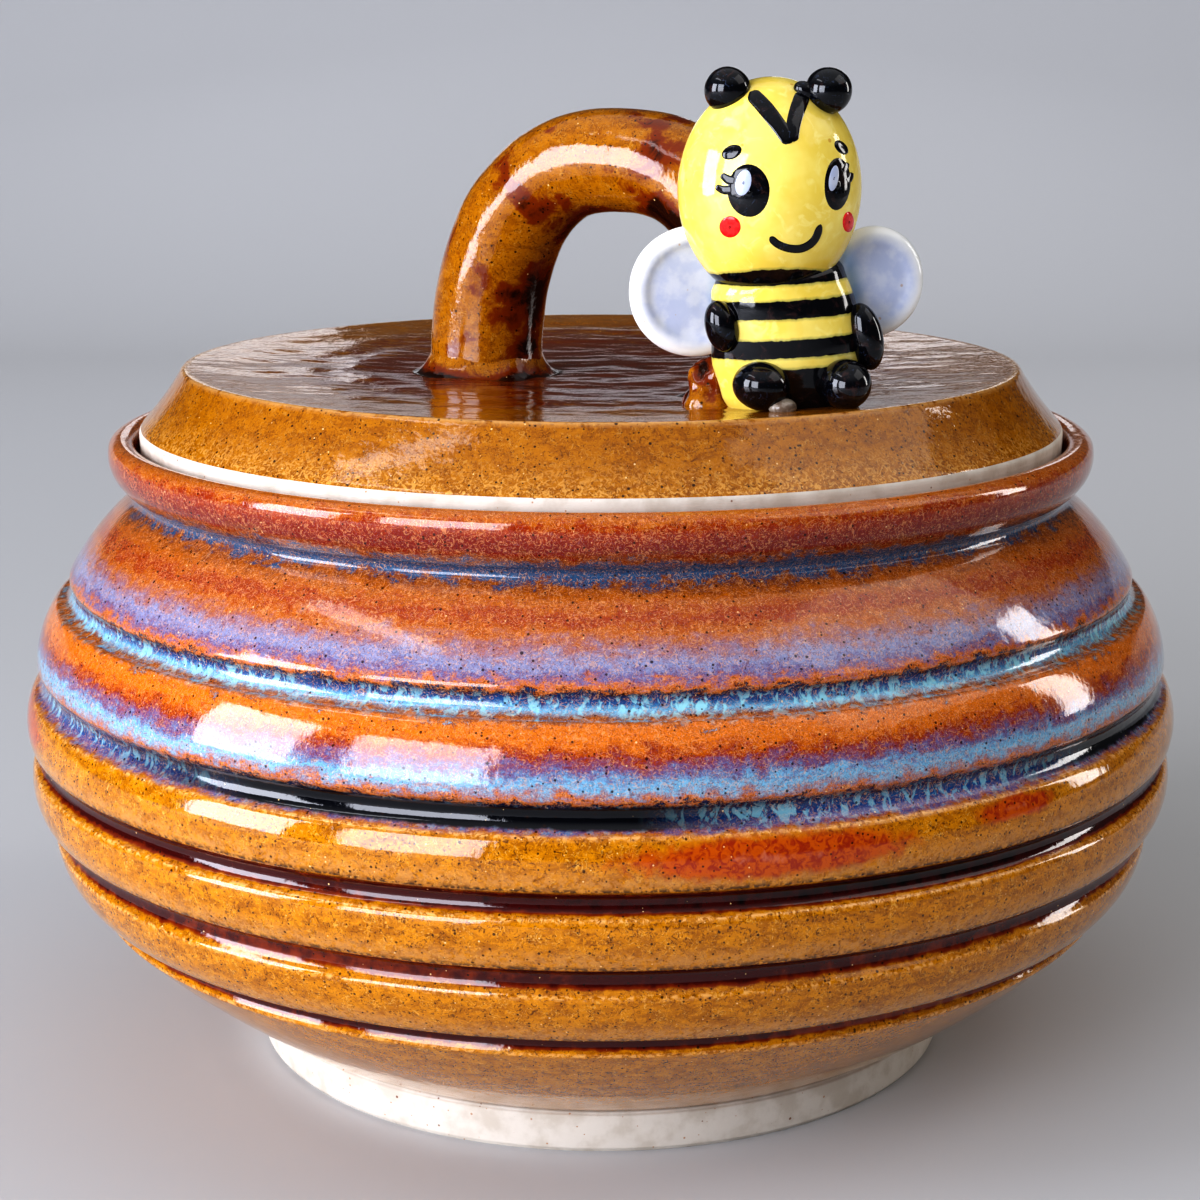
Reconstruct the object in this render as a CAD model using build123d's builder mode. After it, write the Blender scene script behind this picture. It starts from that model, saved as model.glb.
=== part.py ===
"""A wheel-thrown honey-pot cookie jar: ribbed belly, gallery rim, dished lift-off lid
with an arched handle, and a little modelled bee leaning on the handle's front leg.

Millimetres. The origin is the centre of the foot, on the surface that the jar stands on.
+Z is up, and the bee faces roughly towards -Y.
"""
from build123d import *
from math import asin, copysign, cos, degrees, pi, radians, sin, sqrt
import os

# Belly: two quarter ellipses, one below the widest height and one above it
belly_radius = 138.6
widest_height = 80.0
lower_drop, lower_reach = 80.0, 104.4
upper_rise, upper_reach = 70.0, 64.0
belly_start = 12.0
shoulder_top = 135.9
wall = 9.0
floor_height = 19.0
floor_radius = 84.0
inside_heights = (129.0, 116.0, 100.0, 80.0, 58.0, 38.0, 27.0)

# Grooves between the pillowy bands: height of the ridge above each, and how tall each is
groove_ridges = (44.6, 63.0, 79.9, 97.8, 118.0)
groove_heights = (4.4, 6.2, 5.4, 6.4, 5.4)
groove_depth = 2.6
band_swell = 1.3

# Foot ring
foot_height = 10.0
foot_radius = 86.2
foot_taper = 0.9
foot_bore = 75.0
foot_edge = 0.8

# Neck and gallery rim, where the lid sits. The lip flares out of the neck and rolls over at its top
neck_radius = 111.4
neck_top = 139.0
neck_hollow_drop = 1.6
neck_flare = 2.1
lip_radius = 117.9
lip_top = 151.1
lip_start_out, lip_start_up = 4.6, 2.4
lip_widest = 145.8
lip_roll_in, lip_roll_drop = 0.3, 1.9
lip_crest_in = 3.1
lip_inner_drop = 1.7
gallery_bore = 111.5
gallery_ledge = 143.0
throat_radius = 101.0
throat_bottom = 136.0

# Lid: dished top, sloping skirt, and a bare seat that stands in the gallery
lid_top_radius = 99.9
lid_top_edge = 166.4
lid_dish = 2.8
lid_slope_foot = 153.0
lid_seat_radius = 110.4
lid_thickness = 7.6
lid_seat_width = 8.0
lid_seat_depth = 7.0
lid_seat_chamfer = 0.6
lid_skirt_step = (0.5, 0.8)
lid_skirt_swell = 0.5
lid_under_inset, lid_under_rise = 8.0, 1.6

# Arched handle, from its left leg to the leg behind the bee
left_leg = Vector(-27.5, -1.0, 163.0)
right_leg = Vector(37.5, -47.0, 163.0)
arch_rise = 51.9
arch_squareness = 2.37
leg_radius = 13.6
crown_radius = 11.8
arch_stations = 13
arch_swell_power = 1.5
left_collar_radius, left_collar_height = 18.0, 7.5
right_collar_radius, right_collar_height = 21.0, 12.0
collar_edge = 2.0
collar_grip = 0.4
collar_hollow = 0.22

# Bee: where it sits, how it leans, and the height, width and depth of the rings up its torso
bee_turn = 11.0
bee_seat = Vector(42.5, -67.5, 164.5)
bee_lean = Vector(-0.185, -0.035, 1.0)
torso_rings = (
    (-1.5, 26.0, 16.0),
    (6.0, 32.0, 18.5),
    (13.0, 34.0, 21.0),
    (21.0, 31.5, 21.5),
    (28.0, 29.0, 21.0),
)

# Rounded pieces of the bee: centre, then width, depth and height, then turn about each axis
head_place = (35.3, -69.5, 211.0), (39.2, 33.0, 46.6), (0, 0, bee_turn)
antenna_left_place = (26.0, -74.0, 231.4), (10.0, 10.0, 10.0), (0, 0, 0)
antenna_right_place = (46.8, -74.0, 231.2), (10.2, 10.0, 9.8), (0, 0, 0)
foot_left_place = (33.7, -77.5, 170.8), (12.6, 13.5, 10.8), (0, 10, 0)
foot_right_place = (51.5, -76.0, 170.9), (11.2, 13.5, 11.0), (0, -25, 0)
arm_left_place = (25.3, -76.0, 183.0), (7.4, 8.0, 11.5), (0, -15, 0)
arm_right_place = (56.0, -70.5, 180.2), (7.6, 8.0, 15.0), (0, -14, 0)
seat_pad_place = (38.0, -80.0, 166.6), (6.8, 6.0, 4.4), (0, 0, 0)

# Wings: centre, radius and how far each is swept round, then the section that both share
wing_left_place = (20.0, -61.5, 189.0), 14.4, -6
wing_right_place = (58.3, -61.5, 191.0), 12.2, 8
wing_rim = 2.4
wing_dish = 1.0
wing_back = 1.6
wing_edge = (0.6, 1.1)
wing_back_in = 2.0


def belly_at(height):
    """Radius of the belly's ridge line at a height."""
    if height < widest_height:
        part = (widest_height - height) / lower_drop
        return belly_radius - lower_reach * (1 - sqrt(1 - part**2))
    part = (height - widest_height) / upper_rise
    return belly_radius - upper_reach * (1 - sqrt(1 - part**2))


def bowed(start, end, bow):
    """An arc from start to end whose middle stands off the straight line, outwards when bow is positive."""
    along = Vector(*end) - Vector(*start)
    outwards = Vector(along.Y, -along.X).normalized()
    middle = (Vector(*start) + Vector(*end)) * 0.5 + outwards * bow
    return ThreePointArc(start, (middle.X, middle.Y), end)


def cut_away(*pieces):
    """Take the finished pieces out of the one being made, so that the two meet face to face."""
    for piece in pieces:
        add(piece.part, mode=Mode.SUBTRACT)


def finish(piece, name):
    """Label a finished piece and write its file."""
    piece.part.label = name
    export_step(piece.part, f"parts/{name}.step")


# Jar body: one thrown pot with six bands, a neck, and a gallery inside the rim
def belly_outline():
    """The outside of the belly from the foot to the neck: a swelling band, then a hollow groove, in turn."""
    start = (belly_at(belly_start), belly_start)
    for ridge, height in zip(groove_ridges, groove_heights):
        band_top = (belly_at(ridge - height), ridge - height)
        bowed(start, band_top, band_swell)
        start = (belly_at(ridge), ridge)
        bowed(band_top, start, -groove_depth)
    bowed(start, (belly_at(shoulder_top), shoulder_top), band_swell)


def rim_outline():
    """Neck groove, turned-out lip, gallery wall and ledge, down to the bottom of the throat."""
    shoulder = (belly_at(shoulder_top), shoulder_top)
    under_lip = (neck_radius + neck_flare, neck_top)
    lip_start = (neck_radius + lip_start_out, neck_top + lip_start_up)
    lip_roll = (lip_radius - lip_roll_in, lip_top - lip_roll_drop)
    lip_inner = (gallery_bore, lip_top - lip_inner_drop)
    ThreePointArc(shoulder, (neck_radius, neck_top - neck_hollow_drop), under_lip)
    Line(under_lip, lip_start)
    ThreePointArc(lip_start, (lip_radius, lip_widest), lip_roll)
    ThreePointArc(lip_roll, (lip_radius - lip_crest_in, lip_top), lip_inner)
    Line(lip_inner, (gallery_bore, gallery_ledge))
    Line((gallery_bore, gallery_ledge), (throat_radius, gallery_ledge))
    Line((throat_radius, gallery_ledge), (throat_radius, throat_bottom))


def inside_outline():
    """The inside of the pot from the throat down to the middle of its floor, one wall inside the belly."""
    inside = [(belly_at(height) - wall, height) for height in inside_heights]
    Line((throat_radius, throat_bottom), inside[0])
    Spline(*inside, (floor_radius, floor_height), tangents=[(1, -1.1), (-1, -0.12)])
    Line((floor_radius, floor_height), (0, floor_height))


def make_jar_body():
    with BuildPart() as jar_body:
        with BuildSketch(Plane.XZ):
            with BuildLine():
                Polyline((0, floor_height), (0, foot_height), (foot_radius, foot_height),
                         (belly_at(belly_start), belly_start))
                belly_outline()
                rim_outline()
                inside_outline()
            make_face()
        revolve(axis=Axis.Z)
    return jar_body


# Foot ring: the bare ring that the pot stands on
def make_foot_ring():
    with BuildPart() as foot_ring:
        with BuildSketch(Plane.XZ):
            with BuildLine():
                Polyline((foot_bore, foot_height), (foot_radius, foot_height),
                         (foot_radius - foot_taper, foot_edge), (foot_radius - foot_taper - foot_edge, 0),
                         (foot_bore + 2 * foot_edge, 0), (foot_bore + foot_edge, foot_edge), close=True)
            make_face()
        revolve(axis=Axis.Z)
    return foot_ring


# Lid: a shallow dish with a sloping skirt, whose bare edge stands on the gallery ledge
def make_lid_shell():
    seat_inner = lid_seat_radius - lid_seat_width
    underside = lid_top_edge - lid_dish - lid_thickness
    dish_radius = (lid_top_radius**2 + lid_dish**2) / (2 * lid_dish)
    dish_sweep = degrees(asin(lid_top_radius / dish_radius))
    skirt_in, skirt_down = lid_skirt_step
    skirt_foot = (lid_seat_radius - skirt_in, lid_slope_foot)
    with BuildPart() as lid_shell:
        with BuildSketch(Plane.XZ):
            with BuildLine():
                JernArc((0, lid_top_edge - lid_dish), (1, 0), dish_radius, dish_sweep)
                Line((0, lid_top_edge - lid_dish), (0, underside))
                Polyline((0, underside), (lid_top_radius - lid_under_inset, underside + lid_under_rise),
                         (seat_inner, gallery_ledge + lid_seat_depth), (seat_inner, gallery_ledge),
                         (lid_seat_radius - lid_seat_chamfer, gallery_ledge),
                         (lid_seat_radius, gallery_ledge + lid_seat_chamfer),
                         (lid_seat_radius, lid_slope_foot - skirt_down), skirt_foot)
                bowed(skirt_foot, (lid_top_radius, lid_top_edge), lid_skirt_swell)
            make_face()
        revolve(axis=Axis.Z)
    return lid_shell


# Handle: a rolled clay arch, thicker at its legs, with clay smoothed round both feet
def arch_point(turn):
    """Point on the middle line of the arch. turn runs from 0 at the left leg to pi at the right one."""
    across = -copysign(abs(cos(turn)) ** (2 / arch_squareness), cos(turn))
    rise = abs(sin(turn)) ** (2 / arch_squareness)
    return left_leg + (right_leg - left_leg) * ((1 + across) / 2) + Vector(0, 0, arch_rise * rise)


def arch_plane(turn):
    """Plane square to the arch at that point. Both legs stand straight up."""
    small = 0.01
    ahead = arch_point(min(turn + small, pi)) - arch_point(max(turn - small, 0))
    if turn in (0, pi):
        ahead = Vector(0, 0, 1 if turn == 0 else -1)
    sideways = (right_leg - left_leg).cross(Vector(0, 0, 1))
    return Plane(origin=arch_point(turn), x_dir=sideways, z_dir=ahead)


def make_handle_arch(lid_shell):
    with BuildPart() as handle_arch:
        for station in range(arch_stations):
            turn = pi * station / (arch_stations - 1)
            with BuildSketch(arch_plane(turn)):
                Circle(crown_radius + (leg_radius - crown_radius) * abs(cos(turn)) ** arch_swell_power)
        loft()
        cut_away(lid_shell)
    return handle_arch


def make_collar(leg, radius, height, lid_shell, handle_arch):
    """Clay smoothed round the foot of a leg, in a hollow sweep from the leg down to the lid."""
    top, edge = (leg_radius + collar_grip, height), (radius, collar_edge)
    with BuildPart() as collar:
        with BuildSketch(Plane(origin=leg, x_dir=(1, 0, 0), z_dir=(0, -1, 0))):
            with BuildLine():
                Polyline(top, (0, height), (0, 0), (radius, 0), edge)
                bowed(edge, top, -(radius - leg_radius) * collar_hollow)
            make_face()
        revolve(axis=Axis(leg, (0, 0, 1)))
        cut_away(lid_shell, handle_arch)
    return collar


# Bee: torso, head, wings, antennas, arms and feet, each modelled by hand and pressed on
def egg(centre, size, turn):
    """A solid egg, as wide, deep and tall as size says, turned about its middle."""
    width, depth, height = size
    ball = scale(Sphere(width / 2), by=(1, depth / width, height / width))
    return Location(centre, turn) * ball


def make_egg_piece(place, *neighbours):
    """A rounded clay piece that is pressed on to its neighbours."""
    blank = egg(*place)
    with BuildPart() as piece:
        add(blank)
        cut_away(*neighbours)
    return piece


def make_torso(*neighbours):
    facing = Vector(cos(radians(bee_turn)), sin(radians(bee_turn)), 0)
    stand = Plane(origin=bee_seat, x_dir=facing, z_dir=bee_lean)
    with BuildPart() as bee_torso:
        for height, width, depth in torso_rings:
            with BuildSketch(stand.offset(height)):
                Ellipse(width / 2, depth / 2)
        loft()
        cut_away(*neighbours)
    return bee_torso


def make_wing(place, *neighbours):
    """A round wing with a raised rim and a dished face, which looks the way the bee does."""
    centre, radius, sweep = place
    facing = radians(bee_turn + sweep)
    looks = Vector(sin(facing), -cos(facing), 0)
    dish_edge = (radius - 2 * wing_rim, -wing_dish)
    edge_in, edge_back = wing_edge
    with BuildPart() as wing:
        with BuildSketch(Plane(origin=centre, x_dir=(cos(facing), sin(facing), 0), z_dir=(0, 0, 1))):
            with BuildLine():
                Polyline((0, wing_back), (0, -wing_dish), dish_edge)
                ThreePointArc(dish_edge, (radius - wing_rim, -wing_rim), (radius, 0))
                ThreePointArc((radius, 0), (radius - edge_in, edge_back), (radius - wing_back_in, wing_back))
                Line((radius - wing_back_in, wing_back), (0, wing_back))
            make_face()
        revolve(axis=Axis(centre, looks))
        cut_away(*neighbours)
    return wing


os.makedirs("parts", exist_ok=True)

jar_body = make_jar_body()
foot_ring = make_foot_ring()
lid_shell = make_lid_shell()
handle_arch = make_handle_arch(lid_shell)
collar_left = make_collar(left_leg, left_collar_radius, left_collar_height, lid_shell, handle_arch)
collar_right = make_collar(right_leg, right_collar_radius, right_collar_height, lid_shell, handle_arch)

head = make_egg_piece(head_place, handle_arch)
torso = make_torso(lid_shell, handle_arch, collar_right, head)
on_body = (torso, head, handle_arch)
wing_left = make_wing(wing_left_place, *on_body)
wing_right = make_wing(wing_right_place, *on_body)
antenna_left = make_egg_piece(antenna_left_place, head)
antenna_right = make_egg_piece(antenna_right_place, head)
foot_left = make_egg_piece(foot_left_place, lid_shell, torso)
foot_right = make_egg_piece(foot_right_place, lid_shell, torso)
arm_left = make_egg_piece(arm_left_place, torso, wing_left, head)
arm_right = make_egg_piece(arm_right_place, torso, wing_right, head, foot_right)
seat_pad = make_egg_piece(seat_pad_place, lid_shell, torso, foot_left, foot_right)

finish(jar_body, "jar_body")
finish(foot_ring, "foot_ring")
finish(lid_shell, "lid_shell")
finish(handle_arch, "handle_arch")
finish(collar_left, "handle_collar_left")
finish(collar_right, "handle_collar_right")
finish(head, "bee_head")
finish(torso, "bee_torso")
finish(wing_left, "bee_wing_left")
finish(wing_right, "bee_wing_right")
finish(antenna_left, "bee_antenna_left")
finish(antenna_right, "bee_antenna_right")
finish(foot_left, "bee_foot_left")
finish(foot_right, "bee_foot_right")
finish(arm_left, "bee_arm_left")
finish(arm_right, "bee_arm_right")
finish(seat_pad, "bee_seat_pad")
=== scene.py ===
# %% [markdown]
# # A ribbed cookie jar with a bee on its lid
# The real object is stoneware, thrown on a wheel and glazed. Its pot, foot, lid, handle and
# bee are already there as solids of the right size, loaded here as a fixed frame. This lesson
# dresses them: every solid gets a finer mesh in the same place, and a glaze made of nodes.
# Everything is in metres, but a potter thinks in millimetres, so outlines are written in
# millimetres and turned into metres when a mesh is made.

# %% Load the frame
import bpy
from math import asin, atan2, copysign, cos, degrees, exp, pi, radians, sin, sqrt
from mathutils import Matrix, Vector, noise


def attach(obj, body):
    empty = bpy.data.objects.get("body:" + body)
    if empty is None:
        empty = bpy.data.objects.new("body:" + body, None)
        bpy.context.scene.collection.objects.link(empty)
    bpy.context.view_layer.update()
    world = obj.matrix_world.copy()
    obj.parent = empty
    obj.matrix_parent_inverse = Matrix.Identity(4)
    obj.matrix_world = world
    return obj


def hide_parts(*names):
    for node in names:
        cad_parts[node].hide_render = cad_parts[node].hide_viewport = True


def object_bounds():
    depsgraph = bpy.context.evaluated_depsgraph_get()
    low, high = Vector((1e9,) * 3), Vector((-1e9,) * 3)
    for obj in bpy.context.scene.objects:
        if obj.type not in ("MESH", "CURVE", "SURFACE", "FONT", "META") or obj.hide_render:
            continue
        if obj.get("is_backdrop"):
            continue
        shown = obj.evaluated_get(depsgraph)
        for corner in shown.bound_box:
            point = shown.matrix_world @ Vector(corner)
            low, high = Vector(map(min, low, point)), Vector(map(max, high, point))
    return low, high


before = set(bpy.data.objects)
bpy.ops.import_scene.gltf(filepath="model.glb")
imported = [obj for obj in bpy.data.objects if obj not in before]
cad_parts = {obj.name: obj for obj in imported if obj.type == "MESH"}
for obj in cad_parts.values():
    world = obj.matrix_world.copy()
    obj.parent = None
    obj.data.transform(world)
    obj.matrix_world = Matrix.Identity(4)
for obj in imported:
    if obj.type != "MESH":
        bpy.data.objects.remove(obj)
cad_low, cad_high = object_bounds()
MM = 0.001
solid_size = [round(side / MM, 1) for side in cad_high - cad_low]
print("solids loaded:", len(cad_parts), "size in mm:", solid_size)

# %% [markdown]
# ## The camera first
# A look is only judged from a known place, so the camera comes before any piece. The rings of
# the pot are circles that the photograph shows as ellipses, and how flat they are tells how
# high the eye was. It stands 584 mm in front of the pot's axis, 241 mm above the table, and
# looks down by 13 degrees through a long lens. A long lens could stand further off, but then
# the ellipses would all be equally flat, which they are not.

# %% Place the camera
eye = Vector((-0.2, -583.8, 241.3)) * MM
look_down = radians(12.98)
lens_mm, film_width = 72.76, 36.0
photo_pixels = 1200

camera_data = bpy.data.cameras.new("camera")
camera_data.lens = lens_mm
camera_data.sensor_width = film_width
camera = bpy.data.objects.new("camera", camera_data)
camera.location = eye
camera.rotation_euler = (pi / 2 - look_down, 0, 0)
bpy.context.scene.collection.objects.link(camera)
bpy.context.scene.camera = camera
focal_pixels = photo_pixels * lens_mm / film_width


def sight_line(across, down):
    """Direction from the eye through a pixel of the photograph."""
    right = (across - photo_pixels / 2) / focal_pixels
    up = (photo_pixels / 2 - down) / focal_pixels
    ahead, rise = cos(look_down) + up * sin(look_down), up * cos(look_down) - sin(look_down)
    return Vector((right, ahead, rise)).normalized()


print("focal length in pixels:", round(focal_pixels, 1))

# %% [markdown]
# ## A soft pale studio
# Gloss shows only what it mirrors, so a glazed pot is lit by its surroundings more than by its
# lamps. Two tall window panes stand low on the left and give the two bright squares on the
# shoulder, and a skylight lays a streak on the lid's skirt. The room is bright overhead and
# dim at eye level. That way every upper edge gets a thin bright line, while the sides of the
# pot mirror little and keep their deep colour. An even white room would veil them in grey.


# %% Light the room
def soft_panel(name, place, aim, width, height, watts, colour=(1, 1, 1)):
    """A flat area light that faces the point that it is aimed at."""
    lamp = bpy.data.lights.new(name, "AREA")
    lamp.shape = "RECTANGLE"
    lamp.size, lamp.size_y = width, height
    lamp.energy = watts
    lamp.color = colour
    panel = bpy.data.objects.new(name, lamp)
    panel.location = place
    panel.rotation_euler = (Vector(aim) - Vector(place)).to_track_quat("-Z", "Y").to_euler()
    bpy.context.scene.collection.objects.link(panel)
    return panel


def around(turn, height_angle, distance):
    """A place round the pot: turn is 0 towards the camera and grows to the right, both in degrees."""
    turn, height_angle = radians(turn), radians(height_angle)
    flat = distance * cos(height_angle)
    return Vector((flat * sin(turn), -flat * cos(turn), distance * sin(height_angle) + 0.1))


middle = Vector((0, 0, 0.12))
day_blue, sky_blue, back_blue = (0.86, 0.89, 1.0), (0.92, 0.94, 1.0), (0.93, 0.95, 1.0)
warm_white, fill_white = (1.0, 0.97, 0.95), (1.0, 0.98, 0.96)
panels = (  # name, turn, height angle, distance, width, height, watts and colour
    ("window_far", -69, 14.5, 1.6, 0.62, 0.90, 31, day_blue),
    ("window_near", -34, 14.5, 1.6, 0.76, 0.90, 31, day_blue),
    ("window_right", 101, 15, 1.6, 0.26, 0.80, 7, warm_white),
    ("fill_right", 78, 46, 1.7, 1.30, 0.90, 5, fill_white),
    ("skylight", -66, 52, 1.6, 0.85, 0.13, 2.2, sky_blue),
    ("back_left", -168, 12, 1.9, 0.30, 0.16, 0.25, back_blue),
    ("back_right", 168, 15, 1.9, 0.44, 0.20, 0.5, back_blue),
)
for name, turn, height_angle, distance, width, height, watts, colour in panels:
    soft_panel(name, around(turn, height_angle, distance), middle, width, height, watts, colour)

world = bpy.data.worlds.new("pale_room")
world.use_nodes = True
room = world.node_tree
direction = room.nodes.new("ShaderNodeTexCoord")
upwards = room.nodes.new("ShaderNodeSeparateXYZ")
ceiling = room.nodes.new("ShaderNodeMapRange")
ceiling.interpolation_type = "SMOOTHSTEP"
dim_below, bright_above, dim_strength, bright_strength = 0.30, 0.98, 0.11, 0.95
for socket, number in zip(ceiling.inputs[1:5], (dim_below, bright_above, dim_strength, bright_strength)):
    socket.default_value = number
room.links.new(direction.outputs["Generated"], upwards.inputs[0])
room.links.new(upwards.outputs["Z"], ceiling.inputs[0])
room.links.new(ceiling.outputs[0], room.nodes["Background"].inputs["Strength"])
room.nodes["Background"].inputs["Color"].default_value = (0.94, 0.96, 1.0, 1)
bpy.context.scene.world = world
bpy.context.scene.view_settings.view_transform = "Standard"
bpy.context.scene.view_settings.look = "High Contrast"
bpy.context.scene.view_settings.exposure = -0.68
print("panels:", len(panels))

# %% [markdown]
# ## Nodes without the clutter
# A finish is a small tree of nodes. Building one by hand in code soon hides what it does, so
# these few helpers name the moves that a potter's finishes need: a colour from a paint chart,
# cloudy noise, scattered dots, a threshold, and one coat laid over another through a mask.
# Colours are written the way a paint chart gives them, 0 to 255, and turned to linear light.


# %% Helpers for finishes
def linear(part):
    """One part of a paint-chart colour, 0 to 255, as linear light."""
    return ((part / 255 + 0.055) / 1.055) ** 2.4 if part > 10 else part / 3295


def paint(red, green, blue):
    """A colour from a paint chart, ready for a colour socket."""
    return (linear(red), linear(green), linear(blue), 1)


class Finish:
    """A material that is being mixed, coat by coat."""

    def __init__(self, name, gloss_roughness, coat=0.0):
        self.material = bpy.data.materials.new(name)
        self.material.use_nodes = True
        self.tree = self.material.node_tree
        self.skin = self.tree.nodes["Principled BSDF"]
        self.skin.inputs["Roughness"].default_value = gloss_roughness
        self.skin.inputs["Specular IOR Level"].default_value = 0.38
        self.skin.inputs["Coat Weight"].default_value = coat
        self.skin.inputs["Coat Roughness"].default_value = 0.03
        self.place = self.add("ShaderNodeTexCoord").outputs["Object"]

    def add(self, kind, **settings):
        node = self.tree.nodes.new(kind)
        for name, value in settings.items():
            setattr(node, name, value)
        return node

    def join(self, value, socket):
        """Plug a node's output, a number or a colour into a socket."""
        if isinstance(value, bpy.types.NodeSocket):
            self.tree.links.new(value, socket)
        else:
            socket.default_value = value

    def maths(self, operation, first, second=0.0):
        node = self.add("ShaderNodeMath", operation=operation)
        self.join(first, node.inputs[0])
        self.join(second, node.inputs[1])
        return node.outputs[0]

    def times(self, first, second):
        return self.maths("MULTIPLY", first, second)

    def plus(self, first, second):
        return self.maths("ADD", first, second)

    def swing(self, noise_value, reach):
        """Noise of 0 to 1 as a swing to both sides of nothing, reach wide in all."""
        return self.times(self.maths("SUBTRACT", noise_value, 0.5), reach)

    def stretched(self, x, y, z):
        """The place, stretched in x, y and z."""
        node = self.add("ShaderNodeVectorMath", operation="MULTIPLY")
        self.join(self.place, node.inputs[0])
        self.join((x, y, z), node.inputs[1])
        return node.outputs[0]

    def cloud(self, size_mm, detail=3.0, twist=0.0, place=None, rough=0.55):
        """Cloudy noise from 0 to 1 whose blots are about this size."""
        node = self.add("ShaderNodeTexNoise")
        self.join(place or self.place, node.inputs["Vector"])
        node.inputs["Scale"].default_value = 1 / (size_mm * MM)
        node.inputs["Detail"].default_value = detail
        node.inputs["Roughness"].default_value = rough
        node.inputs["Distortion"].default_value = twist
        return node.outputs["Fac"]

    def blots(self, low, high, *cloud_settings):
        """Where cloudy noise is above high: 1 in the blots, 0 outside them."""
        return self.between(self.cloud(*cloud_settings), low, high)

    def dots(self, spacing_mm, radius, soft=0.05):
        """Scattered dots, 1 inside. radius is a share of the spacing, and varies from dot to dot."""
        node = self.add("ShaderNodeTexVoronoi")
        self.join(self.place, node.inputs["Vector"])
        node.inputs["Scale"].default_value = 1 / (spacing_mm * MM)
        split = self.add("ShaderNodeSeparateColor")
        self.join(node.outputs["Color"], split.inputs[0])
        reach = self.times(self.maths("POWER", split.outputs[0], 2.5), radius)
        return self.between(self.maths("SUBTRACT", reach, node.outputs["Distance"]), 0.0, soft)

    def curled_lines(self, size_mm, width, twist=1.5):
        """Thin curls, as crystals draw in a glaze: where smooth noise passes through its middle value."""
        off_middle = self.maths("ABSOLUTE", self.maths("SUBTRACT", self.cloud(size_mm, 1, twist), 0.5))
        return self.maths("SUBTRACT", 1.0, self.between(off_middle, width * 0.3, width))

    def between(self, value, low, high):
        """0 below low, 1 above high and smooth between."""
        node = self.add("ShaderNodeMapRange", interpolation_type="SMOOTHSTEP")
        for number, socket in zip((value, low, high), node.inputs):
            self.join(number, socket)
        return node.outputs[0]

    def over(self, under, coat, mask, strength=1.0):
        """Lay a coat over a colour through a mask."""
        node = self.add("ShaderNodeMix", data_type="RGBA", clamp_factor=True)
        self.join(mask if strength == 1.0 else self.times(mask, strength), node.inputs[0])
        self.join(under, node.inputs[6])
        self.join(coat, node.inputs[7])
        return node.outputs[2]

    def ramp(self, value, stops):
        """Colours along a value, from (value, colour) stops."""
        node = self.add("ShaderNodeValToRGB")
        colours = node.color_ramp.elements
        colours.remove(colours[-1])
        for number, (position, colour) in enumerate(stops):
            stop = colours[0] if number == 0 else colours.new(position)
            stop.position, stop.color = position, colour
        self.join(value, node.inputs[0])
        return node.outputs[0]

    def mark(self, name):
        """A number that the mesh carries at each of its points."""
        return self.add("ShaderNodeAttribute", attribute_name=name).outputs["Fac"]

    def height(self):
        split = self.add("ShaderNodeSeparateXYZ")
        self.join(self.place, split.inputs[0])
        return split.outputs["Z"]

    def bumps(self, value, depth_mm):
        """Raise the surface where value is high. Later bumps lie on earlier ones."""
        node = self.add("ShaderNodeBump")
        node.inputs["Strength"].default_value = 1.0
        node.inputs["Distance"].default_value = depth_mm * MM
        self.join(value, node.inputs["Height"])
        if self.skin.inputs["Normal"].links:
            self.tree.links.new(self.skin.inputs["Normal"].links[0].from_socket, node.inputs["Normal"])
        self.join(node.outputs[0], self.skin.inputs["Normal"])

    def done(self, colour):
        self.join(colour, self.skin.inputs["Base Color"])
        return self.material


print("finish helpers ready")

# %% [markdown]
# ## The amber glaze
# An iron glaze is clear honey over pale speckled clay. Where it is thick it goes brown, where it runs thin
# over an edge the clay shows tan, and in a groove it pools almost black. The tan along the upper edges is
# partly that thin glaze and partly a painted highlight. It could be one brown with noise on top, but the
# depth is what makes it look wet, so each of these is its own coat: cloudy amber, small curled flecks,
# pinhole specks, thin edges with their painted highlight, and dark pools. The meshes carry three numbers for
# this, edge, thin and pool, one of each for every point.

# %% Mix the amber glaze
def amber_coats(finish):
    """Honey glaze over speckled clay, as a colour. Used on the pot, the lid and the handle."""
    streaks = finish.blots(0.36, 0.62, 5.0, 4, 0.8, finish.stretched(1.0, 1.0, 2.4))
    colour = finish.over(paint(154, 92, 2), paint(190, 122, 4), streaks)
    colour = finish.over(colour, paint(206, 136, 10), finish.blots(0.50, 0.64, 1.3, 3, 2.2), 0.7)
    colour = finish.over(colour, paint(84, 42, 2), finish.blots(0.54, 0.66, 1.0, 3, 1.8), 0.85)
    lines = finish.times(finish.curled_lines(1.7, 0.030), finish.blots(0.44, 0.62, 3.0, 3, 0.5))
    return finish.over(colour, paint(226, 176, 84), lines, 0.55)


def specks(finish, colour, strength):
    """Iron specks from the clay, in two sizes, and a few pale ones."""
    both_sizes = finish.maths("MAXIMUM", finish.dots(3.1, 0.15), finish.dots(1.1, 0.32))
    colour = finish.over(colour, paint(36, 14, 4), both_sizes, strength)
    return finish.over(colour, paint(248, 214, 150), finish.dots(1.7, 0.15), 0.7)


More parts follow.
